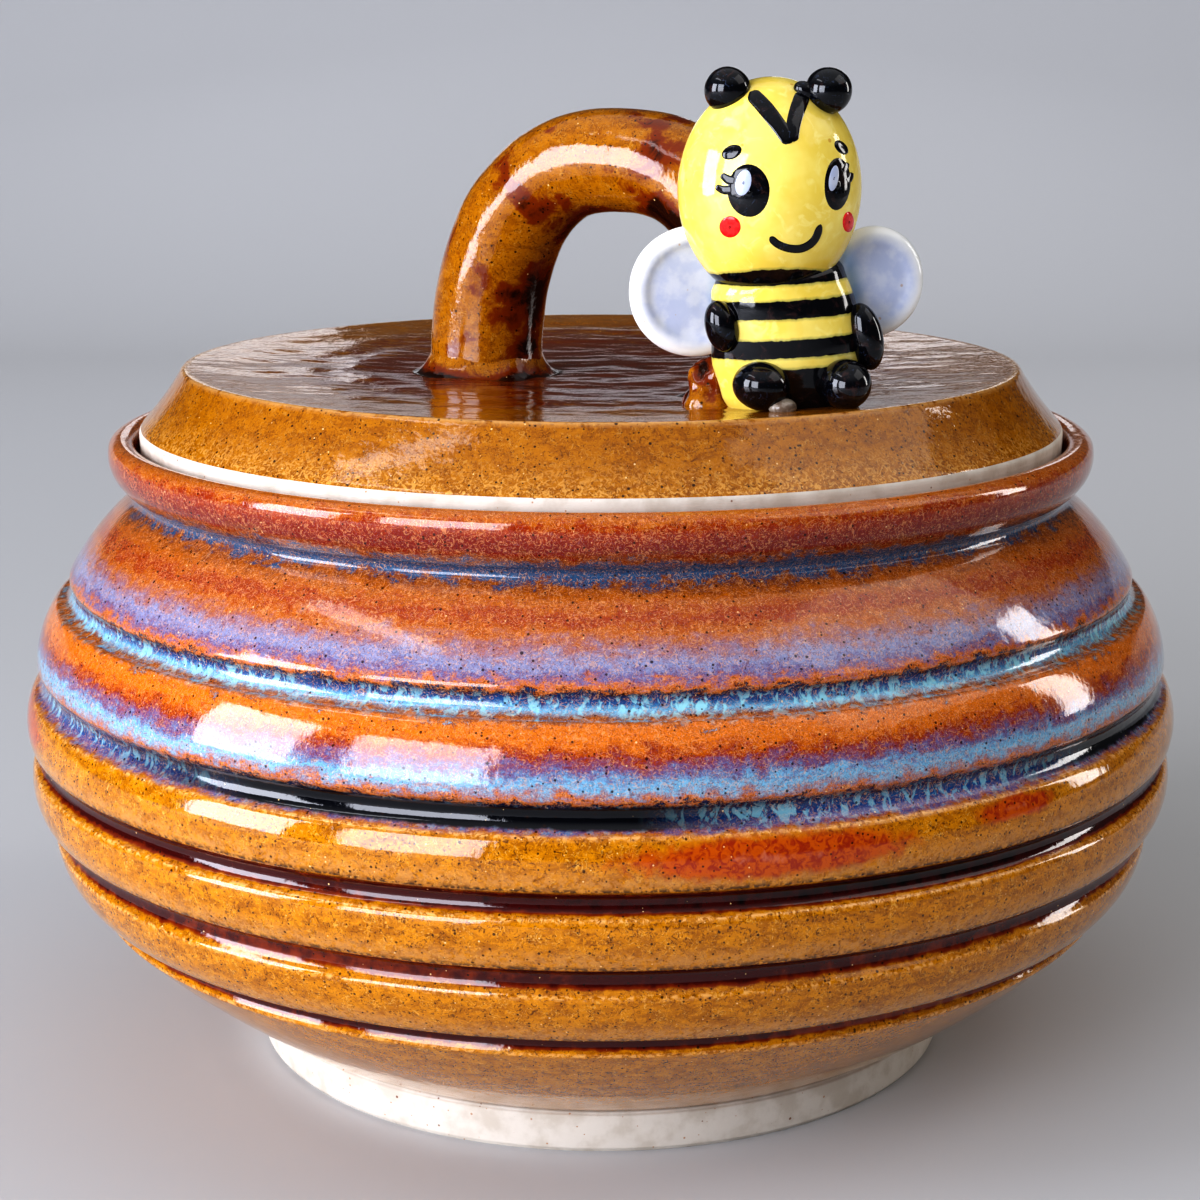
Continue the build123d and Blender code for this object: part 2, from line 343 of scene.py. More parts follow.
def make_amber_glaze():
    finish = Finish("amber_glaze", 0.09, coat=0.25)
    colour = finish.over(amber_coats(finish), paint(116, 62, 2), 0.45)
    # The edge coat is thin glaze over the lid's top edge, and also a painted highlight along it.
    edge = finish.times(finish.mark("edge"), finish.blots(0.36, 0.50, 3.0, 4, 1.0))
    colour = finish.over(colour, paint(232, 182, 116), edge)
    # On the handle the pool number also carries painted shade on the inner side of the arch, so there these
    # dark coats are partly painted shade.
    pool = finish.plus(finish.mark("pool"), finish.times(finish.cloud(4.5, 6, 1.2, rough=0.65), 0.6))
    colour = finish.over(colour, paint(112, 42, 3), finish.between(pool, 0.42, 0.58))
    colour = finish.over(colour, paint(34, 12, 6), finish.between(pool, 0.60, 0.80))
    thin = finish.times(finish.mark("thin"), finish.blots(0.46, 0.62, 1.4, 4, 2.0))
    colour = finish.over(colour, paint(214, 160, 80), thin)
    finish.bumps(finish.cloud(4.5, 3), 0.20)
    finish.bumps(finish.cloud(1.2, 2), 0.035)
    return finish.done(specks(finish, colour, 0.9))


amber_glaze = make_amber_glaze()
print("mixed", amber_glaze.name)

# %% [markdown]
# ## The colours that float
# Over the upper half a second glaze floats on the amber. It breaks orange where it is thin,
# goes through rose and lilac to a milky blue as it thickens down each band, and collects
# turquoise in the grooves. The potter's brush went round the pot, so the colour depends
# mostly on the height. A few named colours, set at heights in millimetres, say all of it.
# Each line below is one place: the lip, the neck, the shoulder, the groove under it, the belt
# below that, and the groove where the floating glaze ends.

# %% Set the colours by height
glaze_low, glaze_high = 80.0, 152.0
honey, orange, chestnut = paint(180, 98, 12), paint(208, 112, 8), paint(134, 68, 14)
rust, oxblood, rose = paint(152, 54, 9), paint(124, 29, 8), paint(152, 103, 106)
plum, lilac, milky_blue = paint(110, 94, 136), paint(136, 142, 176), paint(118, 178, 208)
slate, deep_blue, navy_and_ledge_shadow = paint(42, 78, 112), paint(8, 74, 132), paint(7, 15, 42)

# Just under the ridges at 118.0 and 97.8 mm the groove is navy glaze with a painted shadow of the
# overhanging ridge.
glaze_by_height = (
    (152.0, honey), (149.8, honey), (147.8, rust), (144.6, oxblood), (142.8, oxblood), (141.4, chestnut),
    (139.8, slate), (136.8, slate), (135.7, chestnut),
    (133.0, honey), (130.4, rust), (128.0, honey), (125.6, rose), (122.6, lilac), (120.4, plum),
    (118.4, orange), (117.4, navy_and_ledge_shadow), (115.4, deep_blue), (113.9, milky_blue), (112.8, chestnut),
    (111.9, orange), (109.2, orange), (106.6, rust), (103.8, plum), (101.0, milky_blue), (98.5, rose),
    (97.7, orange), (96.8, navy_and_ledge_shadow), (93.8, deep_blue), (92.2, plum), (91.0, honey),
)
print("colours from lip to belly:", len(glaze_by_height))

# %% [markdown]
# ## Mixing the pot's glaze
# A ramp along the height gives the colour, and the height is first shaken by noise: wide and
# flat for the brush, tall and thin for the drips, and fine and curled for the crystals where
# two colours meet. On the ridges and in the grooves the glaze lies still, so it is shaken less
# there. The amber under it has its own pools, which go from rust through oxblood to black. The
# two glazes are mixed apart and then laid one over the other at the height where the dip ended.


# %% Mix the floating glaze
def pooled_amber(finish, deep):
    """The amber of the lower half, with its grooves, ridges and the drops that ran on to it."""
    amber = amber_coats(finish)
    thin = finish.times(finish.mark("thin"), finish.blots(0.30, 0.62, 1.6, 4, 1.0))
    amber = finish.over(amber, paint(192, 138, 78), thin, 0.7)
    amber = finish.over(amber, paint(118, 40, 3), finish.between(deep, 0.26, 0.46))
    amber = finish.over(amber, paint(62, 8, 6), finish.between(deep, 0.44, 0.66))
    amber = finish.over(amber, paint(6, 3, 4), finish.between(deep, 0.74, 0.96))
    # Tan dashes on the top edges of the bands: thin glaze over the edge, and also a painted highlight along
    # it.
    tan_edge_and_highlight = finish.times(finish.mark("edge"), finish.blots(0.46, 0.60, 1.2, 3, 0.8))
    amber = finish.over(amber, paint(232, 176, 104), tan_edge_and_highlight)
    dotted = finish.times(finish.mark("dark_edge"), finish.blots(0.44, 0.56, 1.3, 2))
    amber = finish.over(amber, paint(40, 16, 4), dotted)
    patch = finish.plus(finish.mark("patch"), finish.times(finish.cloud(4.0, 4, 1.0), 0.6))
    ember = finish.over(paint(186, 84, 6), paint(150, 46, 12), finish.blots(0.42, 0.62, 1.6, 4, 1.0))
    ember = finish.over(ember, paint(190, 112, 84), finish.between(patch, 1.22, 1.42))
    return finish.over(amber, ember, finish.between(patch, 0.55, 0.95))


def shaken_height(finish, streaks):
    """Height of a point, shaken where the glaze could run."""
    drips = finish.cloud(3.2, 3, 0.4, finish.stretched(1.0, 1.0, 0.30))
    curls = finish.cloud(0.9, 2, 2.6)
    shake = finish.plus(finish.swing(streaks, 7.0 * MM), finish.swing(drips, 4.5 * MM))
    shake = finish.plus(shake, finish.swing(curls, 4.6 * MM))
    still = finish.times(finish.maths("MAXIMUM", finish.mark("edge"), finish.mark("pool")), 0.85)
    return finish.plus(finish.height(), finish.times(shake, finish.maths("SUBTRACT", 1.0, still)))


def floating_colours(finish, streaks, deep):
    """The colours of the upper half, with crystals, rust flecks and the lace in the grooves."""
    above_low = finish.maths("SUBTRACT", shaken_height(finish, streaks), glaze_low * MM)
    share = finish.maths("DIVIDE", above_low, (glaze_high - glaze_low) * MM)
    upwards = reversed(glaze_by_height)
    stops = [((level - glaze_low) / (glaze_high - glaze_low), colour) for level, colour in upwards]
    colour = finish.ramp(share, stops)
    colour = finish.over(colour, paint(96, 22, 6), finish.blots(0.55, 0.68, 1.3, 3, 2.0), 0.6)
    colour = finish.over(colour, paint(226, 226, 240), finish.blots(0.57, 0.68, 0.8, 2, 3.5), 0.10)
    colour = finish.over(colour, paint(240, 176, 116), finish.curled_lines(1.5, 0.040), 0.36)
    colour = finish.over(colour, paint(60, 20, 30), finish.curled_lines(1.3, 0.045, 2.0), 0.40)
    lace = finish.blots(0.50, 0.60, 1.9, 4, 0.8, finish.stretched(1.0, 1.0, 0.55))
    colour = finish.over(colour, paint(156, 214, 222), finish.times(lace, finish.mark("turquoise")))
    black_pool = finish.times(finish.mark("dark_pool"), finish.between(deep, 0.40, 0.80))
    return finish.over(colour, paint(4, 5, 12), black_pool)


def make_floating_glaze():
    finish = Finish("floating_glaze", 0.08, coat=0.3)
    deep = finish.plus(finish.mark("pool"), finish.swing(finish.cloud(3.0, 4), 0.55))
    streaks = finish.cloud(5.0, 4, 0.6, finish.stretched(1.0, 1.0, 2.6))
    ragged_height = finish.plus(finish.height(), finish.swing(streaks, 1.6 * MM))
    dip_end = finish.between(ragged_height, 90.9 * MM, 91.9 * MM)
    shoulder = finish.maths("SUBTRACT", dip_end, finish.mark("inside"))
    colour = finish.over(pooled_amber(finish, deep), floating_colours(finish, streaks, deep), shoulder)
    finish.bumps(finish.cloud(6.0, 2), 0.12)
    finish.bumps(finish.cloud(1.3, 2), 0.030)
    return finish.done(specks(finish, colour, 0.85))


floating_glaze = make_floating_glaze()
print("mixed", floating_glaze.name)

# %% [markdown]
# ## Bare clay, and the bee's bright glazes
# The foot and the lid's seat are left bare, or the glaze would fuse them to the kiln shelf and
# to the pot. Bare stoneware is pale and dry, with brown specks. The bee is brushed with opaque
# yellow, black and bluish white under a clear glaze, so its colour is flat and its gloss deep.

# %% Mix the small finishes
def make_bare_clay():
    finish = Finish("bare_clay", 0.72)
    colour = finish.over(paint(208, 200, 188), paint(192, 182, 168), finish.blots(0.4, 0.65, 7, 4))
    colour = finish.over(colour, paint(176, 140, 112), finish.dots(1.7, 0.20))
    colour = finish.over(colour, paint(120, 76, 50), finish.dots(3.3, 0.13), 0.9)
    finish.bumps(finish.cloud(0.7, 3), 0.06)
    finish.bumps(finish.cloud(12, 2, 0.0, finish.stretched(0.05, 0.05, 6.0)), 0.10)
    return finish.done(colour)


def make_yellow_glaze():
    finish = Finish("yellow_glaze", 0.09, coat=0.2)
    colour = finish.over(paint(244, 222, 118), paint(236, 208, 92), finish.blots(0.35, 0.65, 9, 3))
    colour = finish.over(colour, paint(250, 236, 150), finish.blots(0.52, 0.7, 3.5, 3, 1), 0.5)
    colour = finish.over(colour, paint(206, 150, 60), finish.dots(3.6, 0.16), 0.7)
    black = finish.over(paint(12, 13, 18), paint(46, 30, 30), finish.blots(0.52, 0.72, 2.8, 4, 1.0))
    shaken = finish.plus(finish.mark("stripe"), finish.swing(finish.cloud(2.6, 3, 0.5), 0.9))
    colour = finish.over(colour, paint(96, 120, 72), finish.between(shaken, -0.75, -0.1), 0.45)
    colour = finish.over(colour, black, finish.between(shaken, -0.12, 0.12))
    finish.bumps(finish.cloud(3.0, 2), 0.05)
    return finish.done(colour)


def make_black_glaze():
    finish = Finish("black_glaze", 0.08, coat=0.2)
    colour = finish.over(paint(10, 11, 16), paint(52, 34, 32), finish.blots(0.52, 0.74, 3.0, 4, 1.2))
    colour = finish.over(colour, paint(70, 84, 110), finish.blots(0.60, 0.72, 1.3, 3, 2), 0.4)
    finish.bumps(finish.cloud(2.4, 2), 0.05)
    return finish.done(colour)


def make_white_glaze():
    finish = Finish("white_glaze", 0.12, coat=0.2)
    colour = finish.over(paint(180, 188, 212), paint(198, 203, 218), finish.blots(0.4, 0.65, 4, 4))
    colour = finish.over(colour, paint(236, 236, 234), finish.mark("edge"))
    colour = finish.over(colour, paint(176, 140, 104), finish.dots(2.4, 0.18), 0.6)
    colour = finish.over(colour, paint(112, 160, 206), finish.mark("pool"), 0.55)
    finish.bumps(finish.cloud(2.6, 2), 0.05)
    return finish.done(colour)


def make_cloudy_glaze(name, roughness, light, dark, blot_mm, bump_mm):
    """A small plain glaze of two shades."""
    finish = Finish(name, roughness, coat=0.2)
    colour = finish.over(light, dark, finish.blots(0.4, 0.6, blot_mm, 3 if blot_mm > 1.5 else 2))
    finish.bumps(finish.cloud(blot_mm, 2), bump_mm)
    return finish.done(colour)


bare_clay = make_bare_clay()
yellow_glaze = make_yellow_glaze()
black_glaze = make_black_glaze()
white_glaze = make_white_glaze()
smoky_glaze = make_cloudy_glaze("smoky_glaze", 0.12, paint(150, 138, 124), paint(112, 96, 82), 2.0, 0.04)
red_glaze = make_cloudy_glaze("red_glaze", 0.10, paint(214, 18, 24), paint(232, 44, 40), 1.2, 0.03)
small_finishes = (bare_clay, yellow_glaze, black_glaze, white_glaze, smoky_glaze, red_glaze)
print("mixed", [finish.name for finish in small_finishes])

# %% [markdown]
# ## From points to a piece
# Blender could turn a lathe shape with its Screw modifier, but a hand-thrown pot isn't quite round, and the
# finishes need numbers at each point. So every mesh here is a grid of points with faces between neighbours.
# One helper makes the object, writes the numbers, gives the finish, hangs it on the body that it rides on,
# and hides the solid that it stands for.


# %% Make a piece from a grid of points
def piece_from(name, points, faces, finishes, body, stands_for=(), marks=None):
    """A smooth mesh in the frame's own place. marks maps a name to one number for each point."""
    mesh = bpy.data.meshes.new(name)
    mesh.from_pydata([Vector(point) * MM for point in points], [], faces)
    for mark, values in (marks or {}).items():
        layer = mesh.attributes.new(mark, "FLOAT", "POINT")
        layer.data.foreach_set("value", [float(value) for value in values])
    for finish in finishes:
        mesh.materials.append(finish)
    mesh.shade_smooth()
    piece = bpy.data.objects.new(name, mesh)
    bpy.context.scene.collection.objects.link(piece)
    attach(piece, body)
    if stands_for:
        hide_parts(*stands_for)
    return piece


def grid_faces(rows, columns, wrap_columns=True, wrap_rows=False):
    """Quads between the points of a grid, row after row."""
    faces = []
    for row in range(rows if wrap_rows else rows - 1):
        below, above = row * columns, (row + 1) % rows * columns
        for column in range(columns if wrap_columns else columns - 1):
            after = (column + 1) % columns
            faces.append((below + column, below + after, above + after, above + column))
    return faces


def rough_ground(point, size_mm, seed=0.0):
    """Smooth noise from -1 to 1 at a point in millimetres."""
    return noise.noise(Vector(point) / size_mm + Vector((seed, seed * 1.7, -seed)))


print("mesh helpers ready")

# %% [markdown]
# ## The outline of the pot
# The belly is two quarter ellipses that meet at the widest height. The potter pressed five
# grooves into it, and the clay between them swells like a pillow and ends in a crisp ridge
# over the next groove. Arcs between a few named heights give that outline exactly, and one
# pass of smoothing takes the knife edge off each ridge, as fired glaze does.

# %% Work out the belly
belly_radius, widest_height = 138.6, 80.0
lower_drop, lower_reach = 80.0, 104.4
upper_rise, upper_reach = 70.0, 64.0
belly_start, shoulder_top = 12.0, 135.9
groove_ridges = (44.6, 63.0, 79.9, 97.8, 118.0)
groove_heights = (4.4, 6.2, 5.4, 6.4, 5.4)
groove_depth, band_swell = 2.6, 1.25
groove_darkness = (0.72, 0.74, 0.98, 1.0, 1.0)


def belly_at(height):
    """Radius of the ridge line at a height."""
    if height < widest_height:
        return belly_radius - lower_reach * (1 - sqrt(1 - ((widest_height - height) / lower_drop) ** 2))
    return belly_radius - upper_reach * (1 - sqrt(1 - ((height - widest_height) / upper_rise) ** 2))


def arc_between(start, end, bow, step=0.6):
    """Points from start to end on an arc whose middle stands off by bow, without the last one."""
    start, end = Vector(start), Vector(end)
    along = end - start
    out = Vector((along.y, -along.x)).normalized()
    half = along.length / 2
    count = max(2, round(along.length / step))
    if abs(bow) < 1e-6:
        return [start + along * (number / count) for number in range(count)]
    radius = (half**2 + bow**2) / (2 * abs(bow))
    sweep = asin(min(1.0, half / radius))
    points = []
    for number in range(count):
        angle = sweep * (2 * number / count - 1)
        rise = radius * (cos(angle) - cos(sweep)) * copysign(1, bow)
        points.append(start + along * 0.5 + along.normalized() * radius * sin(angle) + out * rise)
    return points


def softened(outline, passes=2):
    """Round the corners of an outline a little, with its ends held."""
    for _ in range(passes):
        triples = zip(outline, outline[1:], outline[2:])
        inner = [before * 0.25 + point * 0.5 + after * 0.25 for before, point, after in triples]
        outline = [outline[0], *inner, outline[-1]]
    return outline


def belly_outline():
    """The outside of the belly from the foot up to the neck."""
    outline = []
    start = (belly_at(belly_start), belly_start)
    for ridge, height in zip(groove_ridges, groove_heights):
        band_top = (belly_at(ridge - height), ridge - height)
        outline += arc_between(start, band_top, band_swell)
        start = (belly_at(ridge), ridge)
        outline += arc_between(band_top, start, -groove_depth, 0.45)
    return outline + arc_between(start, (belly_at(shoulder_top), shoulder_top), band_swell)


print("belly points:", len(belly_outline()), "widest:", belly_radius)

# %% [markdown]
# ## Turning the outline into the pot
# Turned on a lathe in code, the outline becomes a ring of points for each of its own points.
# A true circle looks machine made, so each ring is pushed in and out by a fraction of a
# millimetre, slowly round the pot and again from ring to ring, as a thrower's fingers leave it.


# %% The lathe
def lathe(outline, columns, unround=0.15, seed=0.0, centre=(0, 0)):
    """Rings of points from an outline of (radius, height), a little out of round."""
    points = []
    for radius, height in outline:
        for column in range(columns):
            angle = 2 * pi * column / columns
            sway = sin(2 * angle + seed) * 0.5 + sin(3 * angle + 1.3 * seed + height * 0.05) * 0.3
            way = Vector((sin(angle), -cos(angle), 0))
            finger = rough_ground(way * 60 + Vector((0, 0, height)), 24, seed)
            reach = max(0.0, radius + unround * (sway + finger - 1.0) * min(1.0, radius / 40))
            points.append((centre[0] + reach * way.x, centre[1] + reach * way.y, height))
    return points


def near(value, target, width):
    """1 at the target, falling to 0 at a width away."""
    return max(0.0, 1 - abs(value - target) / width)


def turn_of(point):
    """Turn of a point round the pot in degrees, 0 at the front and growing to the right."""
    return degrees(atan2(point[0], -point[1]))


def pool_at(radius, height):
    """How deep in a groove a point of the belly is, from 0 to 1."""
    for ridge, tall, darkness in zip(groove_ridges, groove_heights, groove_darkness):
        if ridge - tall <= height <= ridge:
            return darkness * min(1.0, max(0.0, (belly_at(height) - radius) / (groove_depth * 0.9))) ** 1.3
    return 0.0


print("lathe ready")

# %% [markdown]
# ## The rim, the gallery and the inside
# Above the shoulder the clay is pinched into a neck, turned out into a lip, and split inwards
# into a gallery, the ledge that the lid stands on. The pot could be a shell with one offset,
# but a thrower leaves the wall thicker at the foot and squares the gallery with a tool, so the
# inside has an outline of its own. The glaze on the pot's inside is plain amber.

# %% Turn the pot
rim_steps = 0.5
neck_radius, neck_top = 111.4, 139.0
lip_radius, lip_top = 117.9, 151.1
gallery_bore, gallery_ledge = 111.5, 143.0
throat_radius, throat_bottom = 101.0, 136.0
wall, floor_height, floor_radius = 9.0, 19.0, 84.0
foot_radius, foot_height = 86.2, 10.0
pot_columns = 480


def rim_outline():
    """Neck groove, turned-out lip, gallery wall and ledge."""
    shoulder, under_lip = (belly_at(shoulder_top), shoulder_top), (neck_radius + 2.1, neck_top)
    lip_start, lip_side = (neck_radius + 4.6, neck_top + 2.4), (lip_radius - 0.3, lip_top - 1.9)
    lip_inside = (gallery_bore, lip_top - 1.7)
    corners, bows = (shoulder, under_lip, lip_start, lip_side, lip_inside), (-1.3, 0.15, 0.95, 1.5)
    outline = []
    for start, end, bow in zip(corners, corners[1:], bows):
        outline += arc_between(start, end, bow, rim_steps)
    outline += arc_between(lip_inside, (gallery_bore, gallery_ledge), 0, 1.5)
    return outline + arc_between((gallery_bore, gallery_ledge), (throat_radius, gallery_ledge), 0, 2.0)


def inside_outline():
    """Down the inside of the pot to the middle of its floor."""
    wall_heights = [129 - 6 * number for number in range(17)]
    floor_edge, floor_middle = (floor_radius, floor_height), (0.5, floor_height)
    outline = arc_between((throat_radius, gallery_ledge), (throat_radius, throat_bottom), 0, 2.0)
    outline += [Vector((throat_radius, throat_bottom))]
    outline += [Vector((belly_at(height) - wall, height)) for height in wall_heights]
    outline += arc_between((floor_radius + 8, floor_height + 3.2), floor_edge, 0.6, 2.0)
    return outline + arc_between(floor_edge, floor_middle, 0, 6.0) + [Vector(floor_middle)]


under_foot = arc_between((0.5, foot_height), (foot_radius - 0.4, foot_height), 0, 8.0)
waist = arc_between((foot_radius - 0.4, foot_height), (belly_at(belly_start), belly_start), -0.4, 0.5)
pot_outline = softened(under_foot + waist + belly_outline() + rim_outline()) + inside_outline()
pot_points = lathe(pot_outline, pot_columns, 0.16, 2.0)
print("points on the pot:", len(pot_points))

# %% [markdown]
# ## Where the glaze pools, thins and runs
# The pot's finish asks each point how deep it lies in a groove, whether it is on a ridge, and
# whether a drop of the floating glaze ran on to it. Noise alone can't know that. The outline
# does, so the numbers are worked out here and travel with the mesh.

# %% Mark the pot and make it
embers = (  # turn, height, half width in degrees, half height
    (14, 86.5, 13, 4.6), (-78, 87.0, 14, 4.8), (38, 88.5, 5, 2.5),
    (96, 86.0, 12, 4.5), (168, 87.0, 16, 4.5), (-150, 86, 9, 4),
)
blue_stretches = ((27, 26), (-70, 42), (110, 40), (-160, 45))


def ember_at(turn, height):
    """Where a drop of the floating glaze ran on to the amber, from 0 to 1."""
    reach = 0.0
    for middle_turn, middle_height, wide, tall in embers:
        off = (turn - middle_turn + 180) % 360 - 180
        reach = max(reach, exp(-(off / wide) ** 2 - ((height - middle_height) / tall) ** 2))
    return reach


mark_names = ("pool", "edge", "dark_edge", "thin", "patch", "turquoise", "dark_pool", "inside")
pot_marks = {name: [] for name in mark_names}
band_tops = [ridge - tall for ridge, tall in zip(groove_ridges, groove_heights)]
outside_rows = len(pot_outline) - len(inside_outline())
for number, point in enumerate(pot_points):
    radius, height = pot_outline[number // pot_columns]
    outside = 1.0 if number // pot_columns < outside_rows else 0.0
    turn = turn_of(point)
    on_ridge = outside * (1.0 if height < shoulder_top and belly_at(height) - radius < 0.7 else 0.0)
    round_pot = Vector((sin(radians(turn)) * 1.6, cos(radians(turn)) * 1.6, height * 0.05))
    fullness = min(1.0, 0.86 + 0.34 * noise.noise(round_pot))
    in_first = outside * near(height, 114.6, 3.0)
    in_second = outside * near(height, 94.0, 3.4) * 0.7
    flames = 0.8 + 0.5 * noise.noise(Vector((turn * 0.05, 0, 3)))
    blue = max(near(turn, middle_turn, half_turn) for middle_turn, half_turn in blue_stretches)
    in_low_groove = 90.8 < height < 98.5
    pot_marks["pool"].append(outside * pool_at(radius, height) * fullness)
    # edge: the top edges of the bands, where the glaze runs thin and where a painted highlight is laid.
    pot_marks["edge"].append(on_ridge * max(near(height, top - 0.2, 0.6) for top in band_tops))
    pot_marks["dark_edge"].append(on_ridge * max(near(height, ridge + 0.7, 0.8) for ridge in groove_ridges))
    pot_marks["thin"].append(outside * max(near(height, ridge + 2.4, 3.6) for ridge in groove_ridges[:3]))
    pot_marks["patch"].append(outside * ember_at(turn, height))
    pot_marks["turquoise"].append(max(in_first, in_second) * flames)
    pot_marks["dark_pool"].append(min(1.0, max(0.0, 1.15 - 1.8 * blue)) if in_low_groove else 0.0)
    pot_marks["inside"].append(1.0 - outside)

pot_faces = grid_faces(len(pot_outline), pot_columns)
pot = piece_from("pot", pot_points, pot_faces, [floating_glaze], "jar", ["jar_body"],
                 pot_marks)
print("pot faces:", len(pot.data.polygons))

# %% [markdown]
# ## The bare foot
# The foot is a trimmed ring of unglazed clay. It is the only part that touches the table, so
# its edge is rounded by a sponge, and the turning tool leaves faint lines round it.

# %% Turn the foot
foot_bore, foot_taper = 75.0, 0.9


def foot_outline():
    outer = foot_radius - foot_taper
    outline = arc_between((foot_bore, foot_height), (foot_radius - 0.6, foot_height), 0, 1.5)
    outline += arc_between((foot_radius - 0.6, foot_height), (foot_radius, foot_height - 0.7), 0.15, 0.25)
    outline += arc_between((foot_radius, foot_height - 0.7), (outer, 0.9), -0.25, 0.4)
    outline += arc_between((outer, 0.9), (outer - 0.9, 0), 0.25, 0.25)
    outline += arc_between((outer - 0.9, 0), (foot_bore + 1.6, 0), 0, 1.0)
    outline += arc_between((foot_bore + 1.6, 0), (foot_bore + 0.8, 0.8), 0.2, 0.3)
    return outline + arc_between((foot_bore + 0.8, 0.8), (foot_bore, foot_height), 0, 1.0)


foot_points = lathe(foot_outline(), pot_columns, 0.08, 5.0)
foot_faces = grid_faces(len(foot_outline()), pot_columns, wrap_rows=True)
foot = piece_from("foot", foot_points, foot_faces, [bare_clay], "jar", ["foot_ring"])
print("foot faces:", len(foot.data.polygons))

# %% [markdown]
# ## The lid
# The lid is a shallow dish with a sloping skirt. Its top was trimmed wet and still shows soft
# waves, which bend every reflection, so the waves are real geometry, about a third of a
# millimetre deep. The glaze stops in a clean line above the bare seat, so the skirt and the
# seat get their own finishes on one mesh.

# %% Turn the lid
lid_top_radius, lid_top_edge, lid_dish = 99.9, 166.4, 2.8
lid_seat_radius, lid_slope_foot, lid_seat_width = 110.4, 153.0, 8.0
lid_thickness = 7.6
lid_columns = 420


def lid_top_at(radius):
    """Height of the dished top at a radius."""
    return lid_top_edge - lid_dish + lid_dish * (radius / lid_top_radius) ** 2


def lid_outline():
    """From the middle of the top, out over the edge, down the skirt and seat, and back underneath."""
    seat_inner, underside = lid_seat_radius - lid_seat_width, lid_top_edge - lid_dish - lid_thickness
    edge, skirt_foot = (lid_top_radius, lid_top_edge), (lid_seat_radius - 0.5, lid_slope_foot)
    seat_top = (lid_seat_radius, lid_slope_foot - 0.8)
    seat_bottom = (lid_seat_radius - 0.2, gallery_ledge + 0.5)
    roof_edge = (lid_top_radius - 8, underside + 1.6)
    top = [Vector((radius, lid_top_at(radius))) for radius in [0.4 + number * 1.25 for number in range(79)]]
    outline = top + [Vector((lid_top_radius - 0.7, lid_top_at(lid_top_radius - 0.7)))]
    outline += arc_between(edge, skirt_foot, 0.5, 0.7)
    outline += arc_between(skirt_foot, seat_top, 0.1, 0.3)
    outline += arc_between(seat_top, seat_bottom, 0, 0.9)
    outline += arc_between((lid_seat_radius - 0.6, gallery_ledge), (seat_inner, gallery_ledge), 0, 1.2)
    outline += arc_between((seat_inner, gallery_ledge), (seat_inner, gallery_ledge + 7), 0, 1.4)
    outline += arc_between((seat_inner, gallery_ledge + 7), roof_edge, 0.8, 1.5)
    return outline + arc_between(roof_edge, (0.4, underside), 0, 5.0)


lid_line = softened(lid_outline(), 1)
lid_marks = {"edge": [], "pool": [], "thin": []}
lid_points = []
lid_top_rows = 80
for number, (x, y, z) in enumerate(lathe(lid_line, lid_columns, 0.12, 7.0)):
    radius, height = lid_line[number // lid_columns]
    on_top = number // lid_columns < lid_top_rows
    ripple = sin(radius * 0.36 + 1.6 * rough_ground((x, y, 0), 34, 3.0)) * 0.10
    broad_wave, short_wave = rough_ground((x, y * 1.6, 0), 21, 9.0), rough_ground((x, y * 2.0, 0), 8, 4.0)
    wave = ripple + 0.34 * broad_wave + 0.17 * short_wave - 0.2
    lid_points.append((x, y, z + wave * (1 - (radius / lid_top_radius) ** 6) if on_top else z))
    middle_share = max(0.0, 1 - (radius / (lid_top_radius - 2)) ** 3)
    # edge: the lid's top edge, thin glaze and a painted highlight along it.
    lid_marks["edge"].append(0.6 * near(height, lid_top_edge, 0.8) if radius > lid_top_radius - 1.0 else 0.0)
    lid_marks["thin"].append(0.75 * near(height, lid_slope_foot, 7.0) if radius > lid_top_radius else 0.0)
    lid_marks["pool"].append(0.32 * middle_share if on_top else 0.0)

lid_faces = grid_faces(len(lid_line), lid_columns)
lid_finishes = [amber_glaze, bare_clay]
lid = piece_from("lid", lid_points, lid_faces, lid_finishes, "lid", ["lid_shell"], lid_marks)
for face in lid.data.polygons:
    if face.center.z < (lid_slope_foot - 0.2) * MM:
        face.material_index = 1
print("lid faces:", len(lid.data.polygons))

# %% [markdown]
# ## The handle
# A fat roll of clay was bent into an arch and pressed on to the lid. Its middle line is half a
# squarish ellipse between the two legs, and it is thicker at the legs. A curve with a bevel
# would give an even pipe. Rings of points along the arch can each be a little off round and
# off centre, which is what a hand-rolled coil looks like.

# %% Roll the handle
left_leg, right_leg = Vector((-27.5, -1.0, 163.0)), Vector((37.5, -47.0, 163.0))
arch_rise, arch_squareness = 51.9, 2.37
leg_radius, crown_radius = 13.6, 11.8
arch_rings, arch_columns = 150, 96


def arch_point(turn):
    """Point on the middle line of the arch, from 0 at the left leg to pi at the right one."""
    across = -copysign(abs(cos(turn)) ** (2 / arch_squareness), cos(turn))
    rise = abs(sin(turn)) ** (2 / arch_squareness)
    return left_leg + (right_leg - left_leg) * ((1 + across) / 2) + Vector((0, 0, arch_rise * rise))


